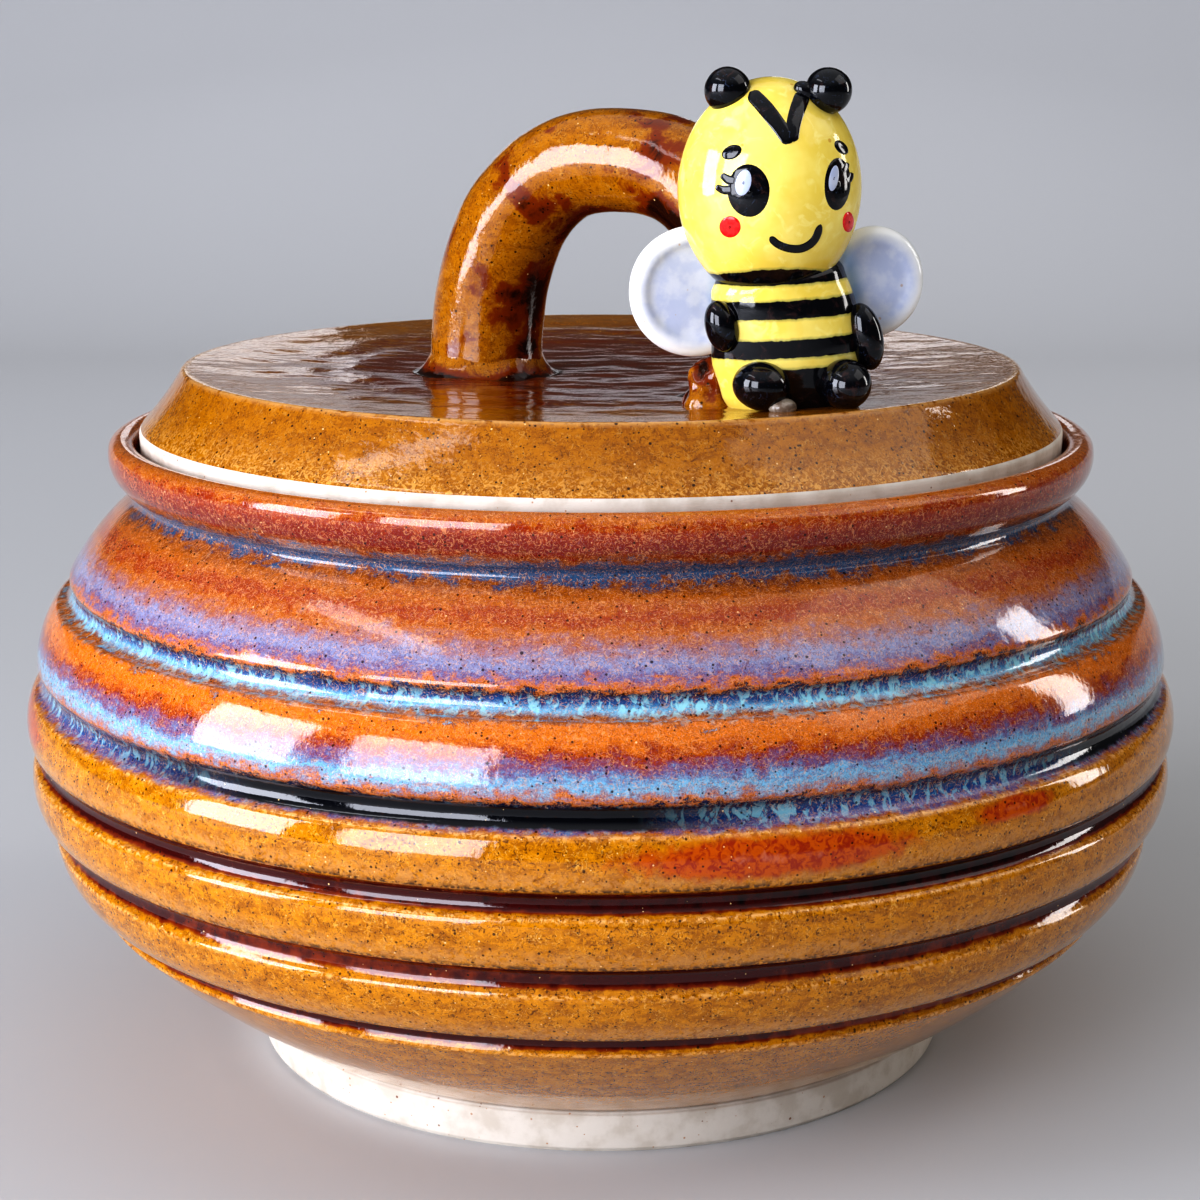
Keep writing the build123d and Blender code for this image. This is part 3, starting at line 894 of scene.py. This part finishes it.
arch_side = (right_leg - left_leg).cross(Vector((0, 0, 1))).normalized()
arch_heart = (left_leg + right_leg) / 2 + Vector((0, 0, arch_rise * 0.4))
arch_points, arch_pool_and_shade = [], []
for ring in range(arch_rings):
    turn = pi * (0.004 + 0.992 * ring / (arch_rings - 1))
    middle_point = arch_point(turn)
    ahead = (arch_point(turn + 0.003) - arch_point(turn - 0.003)).normalized()
    outward = arch_side.cross(ahead).normalized()
    size = crown_radius + (leg_radius - crown_radius) * abs(cos(turn)) ** 1.5
    for column in range(arch_columns):
        angle = 2 * pi * column / arch_columns
        way = arch_side * cos(angle) + outward * sin(angle)
        spot = middle_point + way * size
        dent = 0.32 * rough_ground(spot, 17, 1.0) + 0.14 * rough_ground(spot, 7, 2.0)
        arch_points.append(middle_point + way * (size + dent - 0.25))
        # The inner side of the arch is darkened as painted shade under it. The arch also darkens over its
        # right part, towards the bee, and cloudy noise varies it at random.
        under = max(0.0, -way.dot((middle_point - arch_heart).normalized()))
        cloudy = 0.55 * rough_ground(spot, 11, 6.0) + 0.20 * rough_ground(spot, 4, 7.0)
        arch_pool_and_shade.append(0.26 * under + 0.36 * near(turn, 2.3, 0.8) + cloudy)
arch_faces = grid_faces(arch_rings, arch_columns)
handle = piece_from("handle", arch_points, arch_faces, [amber_glaze], "lid", ["handle_arch"],
                    {"pool": arch_pool_and_shade})
print("handle faces:", len(handle.data.polygons))


# %% [markdown]
# ## The clay smoothed round its feet
# Where a leg meets the lid, a thumb smeared soft clay up the leg and out over the lid, and
# glaze pooled dark round it. Each collar is a short skirt of rings from the leg to the lid,
# and its reach and its height wander with noise. The one behind the bee is larger and rougher.

# %% Smear the collars
def make_collar(name, leg, reach, tall, rough, seed, stands_for):
    rings, columns = 16, 120
    points, pool = [], []
    for ring in range(rings):
        share = ring / (rings - 1)
        for column in range(columns):
            angle = 2 * pi * column / columns
            way = Vector((cos(angle), sin(angle), 0))
            wander = rough_ground(way * 12 + Vector((0, 0, seed)), 6, seed)
            wide = leg_radius - 0.9 + (reach - leg_radius + 0.9 + rough * wander) * share ** 1.4
            spot = leg + way * wide
            ground = lid_top_at(sqrt(spot.x**2 + spot.y**2))
            lump = rough * 0.35 * rough_ground(way * 14 + Vector((0, 0, share * 9)), 3.2, seed + 4)
            slope = (tall + rough * wander) * (1 - share) ** 1.7
            height = ground - 0.3 + slope + lump * (1 - share) * share * 4
            points.append(spot.xy[:] + (height,))
            pool.append(0.05 + 0.95 * share ** 2 * (0.75 + 0.5 * wander))
    faces = grid_faces(rings, columns)
    return piece_from(name, points, faces, [amber_glaze], "lid", [stands_for], {"pool": pool})


collar_left = make_collar("collar_left", left_leg, 18.0, 7.2, 1.2, 3.0, "handle_collar_left")
collar_right = make_collar("collar_right", right_leg, 20.6, 9.5, 2.2, 8.0, "handle_collar_right")

print("collars:", collar_left.name, collar_right.name)

# %% [markdown]
# ## The torn lump behind the bee
# A scrap of clay was left between the bee's back and the lid, torn and not smoothed. It is an
# egg whose surface is torn by two sizes of noise, and it spreads at its foot, where soft clay
# is pressed down on to the lid. In the pits of the tears the glaze is thick and dark.

# %% Tear the lump
lump_middle, lump_half = Vector((23.8, -59.5, 167.0)), Vector((5.5, 5.5, 7.8))
lump_rows, lump_columns = 60, 80
lump_points, lump_pool = [], []
for row in range(lump_rows):
    tilt = pi * (0.5 + row) / lump_rows - pi / 2
    for column in range(lump_columns):
        angle = 2 * pi * column / lump_columns
        way = Vector((cos(tilt) * cos(angle), cos(tilt) * sin(angle), sin(tilt)))
        torn = 0.30 * rough_ground(way, 0.8, 12.0) + 0.06 * rough_ground(way, 0.3, 5.0)
        spread = 1 + 0.7 * max(0.0, -way.z + 0.15) ** 1.5
        egg = Vector((lump_half.x * way.x * spread, lump_half.y * way.y * spread, lump_half.z * way.z))
        lump_points.append(lump_middle + egg * (0.95 + torn))
        lump_pool.append(0.34 - 1.6 * torn)
lump_top = tuple(range((lump_rows - 1) * lump_columns, lump_rows * lump_columns))
lump_faces = grid_faces(lump_rows, lump_columns) + [lump_top]
lump = piece_from("torn_lump", lump_points, lump_faces, [amber_glaze], "lid",
                  marks={"pool": lump_pool})
print("lump faces:", len(lump.data.polygons))

# %% [markdown]
# ## The bee's head
# The head is one egg of clay. A stretched sphere has exactly that shape, but its rows crowd at
# the poles, and the poles here lie at the crown and inside the neck, where nothing shows.
# Thumb-soft noise keeps it from looking turned.

# %% Model the head
bee_turn = radians(11.0)
head_centre = Vector((35.3, -69.5, 211.0))
head_half = Vector((19.5, 16.4, 23.2))
neck_paint, neck_droop = 195.4, 0.010
facing_right = Vector((cos(bee_turn), sin(bee_turn), 0))
facing_back = Vector((-sin(bee_turn), cos(bee_turn), 0))
upright = Vector((0, 0, 1))


def egg_points(centre, half, right, back, up, rows, columns, dent=0.12, seed=0.0):
    """Points on a stretched sphere, a little uneven."""
    points = []
    for row in range(rows):
        tilt = pi * (0.5 + row) / rows - pi / 2
        for column in range(columns):
            angle = 2 * pi * column / columns
            across, deep = half.x * cos(tilt) * cos(angle), half.y * cos(tilt) * sin(angle)
            way = right * across + back * deep + up * (half.z * sin(tilt))
            bump = dent * (rough_ground(way, 9, seed) - 0.5)
            points.append(centre + way * (1 + bump / max(half)))
    return points


def egg_faces(rows, columns):
    """Faces of such an egg, closed at both ends."""
    top = range((rows - 1) * columns, rows * columns)
    return grid_faces(rows, columns) + [tuple(reversed(range(columns))), tuple(top)]


def under_neck_edge(point):
    """How far a point of the head is under the edge of the black neck, which droops at the sides."""
    aside = (point - head_centre).dot(facing_right)
    return neck_paint - neck_droop * aside**2 - point.z


head_rows, head_columns = 100, 128
head_axes = (facing_right, facing_back, upright)
head_points = egg_points(head_centre, head_half, *head_axes, head_rows, head_columns, 0.16, 3.0)
head_faces = egg_faces(head_rows, head_columns)
head_stripe = {"stripe": [under_neck_edge(point) for point in head_points]}
head = piece_from("bee_head_egg", head_points, head_faces, [yellow_glaze], "lid", ["bee_head"],
                  head_stripe)
print("head faces:", len(head.data.polygons))

# %% [markdown]
# ## Painting the face
# The face is brushed on in thick slip, so each mark stands a fifth of a millimetre proud and
# ends in a round edge. A painted texture would be flat, and would need an image. Here each
# mark is a thin mesh that hugs the head. Its outline is given in the photograph's own pixels,
# and a line of sight carries each point on to the egg, so the marks sit where they are seen
# and lie on the clay from every side.


# %% Helpers for brushed marks
def on_head(across, down, lift=0.0):
    """The point of the head that a pixel of the photograph shows, lifted off it by some millimetres."""
    start, way = eye / MM - head_centre, sight_line(across, down)

    def squash(vector):
        """The same vector in a world where the head is a ball of radius 1."""
        return Vector([vector.dot(axis) / half for axis, half in zip(head_axes, head_half)])

    origin, slope = squash(start), squash(way)
    a, b, c = slope.dot(slope), origin.dot(slope), origin.dot(origin) - 1
    spot = start + way * ((-b - sqrt(max(0.0, b * b - a * c))) / a)
    normal = Vector((0, 0, 0))
    for axis, half, part in zip(head_axes, head_half, squash(spot)):
        normal += axis * (part / half)
    return head_centre + spot + normal.normalized() * lift


def brush_profile(share):
    """Height of a brushed mark across its width, 1 in the middle and 0 at its edge."""
    return (1 - abs(share) ** 4) ** 0.5


def brushed_spot(name, across, down, wide, tall, lean, finish, slot, lift, sink):
    """An oval mark, given by its middle and its full width and height in pixels."""
    rings, columns = 9, 48
    points = [on_head(across, down, lift)]
    for ring in range(1, rings + 1):
        share = ring / rings
        rise = lift * brush_profile(share) - sink * share**6
        for column in range(columns):
            angle = 2 * pi * column / columns
            x, y = wide * 0.55 * share * cos(angle), tall * 0.55 * share * sin(angle)
            right, below = x * cos(lean) - y * sin(lean), x * sin(lean) + y * cos(lean)
            points.append(on_head(across + right, down + below, rise))
    faces = [(0, 1 + (column + 1) % columns, 1 + column) for column in range(columns)]
    faces += [tuple(1 + corner for corner in face[::-1]) for face in grid_faces(rings, columns)]
    return piece_from(name, points, faces, [finish], "lid")


def smooth_line(corners, steps=10):
    """A smooth line through a few corners (across, down, width)."""
    corners = [Vector(corner) for corner in corners]
    padded = [corners[0] * 2 - corners[1], *corners, corners[-1] * 2 - corners[-2]]
    line = []
    for first in range(len(corners) - 1):
        before, start, end, after = padded[first:first + 4]
        bend = before * 2 - start * 5 + end * 4 - after
        twist = start * 3 - before - end * 3 + after
        for step in range(steps):
            share = step / steps
            line.append(start + ((end - before) * share + bend * share**2 + twist * share**3) * 0.5)
    return line + [corners[-1]]


def brushed_line(name, corners, lift, sink=0.10):
    """A black brush stroke through a few corners (across, down, width), with round ends."""
    line = smooth_line(corners)
    lanes = 11
    points = []
    last = len(line) - 1
    for number, spot in enumerate(line):
        ahead = (line[min(last, number + 1)] - line[max(0, number - 1)]).xy.normalized()
        from_end = min(number, last - number) / max(1.0, last * 0.10)
        width = 1.15 * spot.z * sqrt(max(0.02, 1 - max(0.0, 1 - from_end) ** 2))
        for lane in range(lanes):
            share = 2 * lane / (lanes - 1) - 1
            across, down = spot.x - ahead.y * width / 2 * share, spot.y + ahead.x * width / 2 * share
            rise = lift * brush_profile(share) * min(1.0, 0.3 + from_end) - sink * share**6
            points.append(on_head(across, down, rise))
    faces = grid_faces(len(line), lanes, wrap_columns=False)
    return piece_from(name, points, faces, [black_glaze], "lid")


print("brush ready")

# %% [markdown]
# ## The bee's face
# Two black eyes with a white glint, red cheeks, brows, lashes, a smile and the V of the
# antennae. Round marks are spots and the rest are strokes. The slip of a glint or a cheek lies
# on top of other paint or is put on thicker, so it is lifted more.

# %% Paint the face
black_slip, white_slip = (black_glaze, "black_glaze"), (white_glaze, "white_glaze")
red_slip = (red_glaze, "yellow_glaze")
spots = (  # name, across, down, wide and tall in pixels, lean, finish and slot, lift, sink
    ("eye_left", 748.6, 190.8, 39, 49, -0.12, *black_slip, 0.13, 0.10),
    ("eye_right", 837.3, 184.5, 25, 49, 0.06, *black_slip, 0.13, 0.10),
    ("glint_left", 743.5, 183.0, 15, 25, 0.25, *white_slip, 0.20, -0.06),
    ("glint_right", 833.5, 178.5, 9, 25, 0.18, *white_slip, 0.20, -0.06),
    ("cheek_left", 730, 227, 20, 20, 0.0, *red_slip, 0.18, 0.10),
    ("cheek_right", 848.6, 222, 10.5, 19, 0.0, *red_slip, 0.18, 0.10),
    ("brow_left", 731.5, 152.2, 19.5, 12.5, -0.42, *black_slip, 0.13, 0.10),
    ("brow_right", 841.6, 147.3, 16, 9.5, 0.82, *black_slip, 0.13, 0.10),
)
smile_left = ((770, 237, 7), (777.5, 244, 7.5), (790, 248.5, 8))
smile_right = ((803, 248, 8), (814.5, 240, 7.5), (821, 224.5, 7))
strokes = (  # name, lift, corners as across, down and width in pixels
    ("lash_left_upper", 0.13, ((735, 181, 8), (728, 179.5, 8), (721, 174.5, 5.5))),
    ("lash_left_lower", 0.13, ((732, 190, 8), (723.5, 190, 7.5), (715.5, 186.5, 5))),
    ("lash_right_upper", 0.13, ((842, 171.5, 6.5), (845.5, 168, 6), (847.3, 162.5, 4.2))),
    ("lash_right_lower", 0.13, ((846, 181.5, 6.5), (850, 178.5, 6), (851.6, 172.5, 4.2))),
    ("smile", 0.13, smile_left + smile_right),
    ("forehead_left", 0.20, ((750, 92, 14), (765, 108, 15), (779.5, 126.5, 14), (791, 143, 13))),
    ("forehead_right", 0.20, ((792.3, 142, 11), (793.5, 125, 13), (797.5, 110, 14), (804, 92, 14))),
)
for spot in spots:
    brushed_spot(*spot)
for name, lift, corners in strokes:
    brushed_line(name, corners, lift)
print("face marks:", len(spots) + len(strokes))

# %% [markdown]
# ## The body and its stripes
# The body is a barrel of clay that leans a little, so it is built from oval rings along a
# leaning line. Its stripes follow that line. The mesh carries how far each point is from the
# nearest stripe's edge, and the yellow glaze turns black where that number is above zero, so
# the edge stays crisp at any size and wavers as a brush does.

# %% Model the body
bee_seat, bee_lean = Vector((42.5, -67.5, 164.5)), Vector((-0.185, -0.035, 1.0)).normalized()
torso_rings = (  # height, width and depth
    (-1.5, 26.0, 16.0), (6.0, 32.0, 18.5), (13.0, 34.0, 21.0),
    (21.0, 31.5, 21.5), (28.0, 29.0, 21.0), (31.0, 26.0, 18.0),
)
stripes = ((-4.0, 10.0), (12.5, 16.3), (20.8, 24.6), (28.0, 36.0))
stripe_slope, lap_start = 0.145, -9.5
bee_right = (facing_right - bee_lean * facing_right.dot(bee_lean)).normalized()
bee_back = bee_lean.cross(bee_right)


def between_rings(height):
    """Width and depth of the torso at a height along its leaning line."""
    for (low, wide_low, deep_low), (high, wide_high, deep_high) in zip(torso_rings, torso_rings[1:]):
        if height <= high:
            share = (height - low) / (high - low)
            share = share * share * (3 - 2 * share) * 0.5 + share * 0.5
            return wide_low + (wide_high - wide_low) * share, deep_low + (deep_high - deep_low) * share
    return wide_high, deep_high


torso_points, torso_stripe = [], []
torso_rows, torso_columns = 80, 128
for row in range(torso_rows):
    height = -1.4 + 32.2 * row / (torso_rows - 1)
    wide, deep = between_rings(height)
    for column in range(torso_columns):
        angle = 2 * pi * column / torso_columns
        offset = wide / 2 * cos(angle)
        way = bee_right * offset + bee_back * (deep / 2 * sin(angle))
        dent = 0.01 * rough_ground(way, 8, height * 0.1)
        torso_points.append(bee_seat + bee_lean * height + way * (1 + dent))
        along = height + stripe_slope * offset
        reach = [min(along - low, high - along) for low, high in stripes]
        reach[0] = min(reach[0], offset - lap_start)
        torso_stripe.append(max(reach))
torso_faces = egg_faces(torso_rows, torso_columns)
piece_from("bee_body", torso_points, torso_faces, [yellow_glaze], "lid", ["bee_torso"],
           {"stripe": torso_stripe})
print("stripes:", len(stripes))

# %% [markdown]
# ## The limbs
# Feet, arms and antennae are pinched balls of clay, each pressed on with a thumb while soft,
# and so is the pale lump that shows between the feet. One egg with three half sizes and a tilt
# makes them all. The right antenna has a small tail, where the brush of black slip ran up to it.


# %% Press on the arms, feet, antennae and seat
def turned(tilt, roll=0.0):
    """Right, back and up of a limb that is tilted sideways, then rolled towards the back."""
    right = facing_right * cos(tilt) + upright * sin(tilt)
    up = upright * cos(tilt) - facing_right * sin(tilt)
    return right, facing_back * cos(roll) + up * sin(roll), up * cos(roll) - facing_back * sin(roll)


limbs = {
    "bee_foot_left": ((33.7, -77.5, 170.8), (6.3, 6.75, 5.4), -10),
    "bee_foot_right": ((51.5, -76.0, 170.9), (5.6, 6.75, 5.5), 25),
    "bee_arm_left": ((25.3, -76.0, 183.0), (3.7, 4.0, 5.75), 15),
    "bee_arm_right": ((56.0, -70.5, 180.2), (3.8, 4.0, 7.5), 14),
    "bee_antenna_left": ((26.0, -74.0, 231.4), (5.0, 5.0, 4.95), 0),
    "bee_antenna_right": ((46.8, -74.0, 231.2), (5.1, 5.0, 4.9), 0),
    "bee_seat_pad": ((38.0, -80.0, 166.6), (3.3, 2.95, 2.15), 0),
}
limb_inset, limb_rows, limb_columns = 0.08, 32, 48
for node, (place, half, tilt) in limbs.items():
    right, back, up = turned(radians(tilt))
    inset_half = Vector(half) - Vector((limb_inset, limb_inset, limb_inset))
    axes, seed = (right, back, up), place[0]
    limb_points = egg_points(Vector(place), inset_half, *axes, limb_rows, limb_columns, 0.25, seed)
    finish, slot = (smoky_glaze, "white_glaze") if node == "bee_seat_pad" else (black_glaze, "black_glaze")
    limb_faces = egg_faces(limb_rows, limb_columns)
    piece_from(node + "_clay", limb_points, limb_faces, [finish], "lid", [node])
tail_middle = on_head(806, 92)
tail_points = egg_points(tail_middle, Vector((2.9, 2.0, 2.0)), *turned(radians(-30)), 24, 32, 0.4, 5.0)
piece_from("antenna_tail", tail_points, egg_faces(24, 32), [black_glaze], "lid")
print("limbs:", len(limbs))

# %% [markdown]
# ## The wings
# Each wing is a flattened ball of clay, dished by a thumb so that its rim stands up. Milky
# glaze gathers in the dish and thins to white on the rim. An outline turned about the wing's
# own axis gives dish and rim together.


# %% Press out the wings
bee_heart, body_reach = bee_seat + Vector((-3, 0, 24)), 15


def make_wing(name, centre, radius, sweep, node):
    rim, dish, back = 2.4, 1.0, 1.6
    facing = bee_turn + radians(sweep)
    looks, right = Vector((sin(facing), -cos(facing), 0)), Vector((cos(facing), sin(facing), 0))
    outline = arc_between((0.05, dish), (radius - 2 * rim, dish), 0, 0.8)
    outline += arc_between((radius - 2 * rim, dish), (radius, 0), -1.15, 0.35)
    outline += arc_between((radius, 0), (radius - 2, -back), -0.4, 0.4)
    outline = softened(outline + [Vector((radius - 2, -back)), Vector((0.05, -back))], 2)
    columns = 96
    points, edge, pool = [], [], []
    for across, out in outline:
        for column in range(columns):
            angle = 2 * pi * column / columns
            flat = right * cos(angle) + Vector((0, 0, 1)) * sin(angle)
            reach = across * (1 + 0.012 * rough_ground(flat * 9, 7, radius)) - 0.15 * (across > 1)
            thumb = 0.15 * rough_ground(flat * across, 5, radius)
            points.append(Vector(centre) + flat * reach + looks * (out + thumb))
            edge.append(min(1.0, max(0.0, (across - radius + 3.8) / 2.4)))
            pool.append(near((points[-1] - bee_heart).length, body_reach, 3))
    faces, marks = grid_faces(len(outline), columns), {"edge": edge, "pool": pool}
    return piece_from(name, points, faces, [white_glaze], "lid", [node], marks)


make_wing("wing_left", (20.0, -61.5, 189.0), 14.4, -6, "bee_wing_left")
make_wing("wing_right", (58.3, -61.5, 191.0), 12.2, 8, "bee_wing_right")
print("wings on")

# %% [markdown]
# ## The floor
# A pale matt sheet lies under the pot and bends up far behind it, as paper does in a studio,
# so that no horizon cuts through the picture. It catches a soft shadow, so the pot stands on
# something. It isn't part of the object, so it is marked as stage.

# %% Lay the floor
floor_half, bend_start, bend_radius, wall_top = 3.0, 1.3, 0.9, 2.6
quarter = [pi / 2 * step / 24 for step in range(25)]
bend = [(bend_start + bend_radius * sin(angle), bend_radius * (1 - cos(angle))) for angle in quarter]
profile = [(-floor_half, 0.0)] + bend + [(bend_start + bend_radius, wall_top)]
floor_mesh = bpy.data.meshes.new("floor")
floor_points = [(x, y, z) for y, z in profile for x in (-floor_half, floor_half)]
floor_mesh.from_pydata(floor_points, [], grid_faces(len(profile), 2, wrap_columns=False))
floor_mesh.shade_smooth()
paper = Finish("floor_paper", 0.85)
paper.skin.inputs["Specular IOR Level"].default_value = 0.2
spot = paper.add("ShaderNodeSeparateXYZ")
paper.join(paper.place, spot.inputs[0])
near_grey, far_grey, dim_wall_shade = (0.50, 0.50, 0.50, 1), (0.70, 0.70, 0.71, 1), (0.10, 0.09, 0.08, 1)
pale = paper.over(near_grey, far_grey, paper.between(spot.outputs["Y"], 0.15, 1.3))
# Above 0.42 m the upright part of the sheet is painted nearly black: painted shade that stands for a dim
# room at eye level, for the glaze to mirror.
shaded = paper.over(pale, dim_wall_shade, paper.between(spot.outputs["Z"], 0.31, 0.42))
floor_mesh.materials.append(paper.done(shaded))
floor_sheet = bpy.data.objects.new("floor", floor_mesh)
bpy.context.scene.collection.objects.link(floor_sheet)
floor_sheet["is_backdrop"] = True
print("floor laid")

# %% [markdown]
# ## Measure
# The dressed jar must be as large as the solids, so both boxes are written down side by side.

# %% Print both sizes
dressed_low, dressed_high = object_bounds()
dressed_size = [round(side / MM, 1) for side in dressed_high - dressed_low]
print("solids:", solid_size, "dressed:", dressed_size)
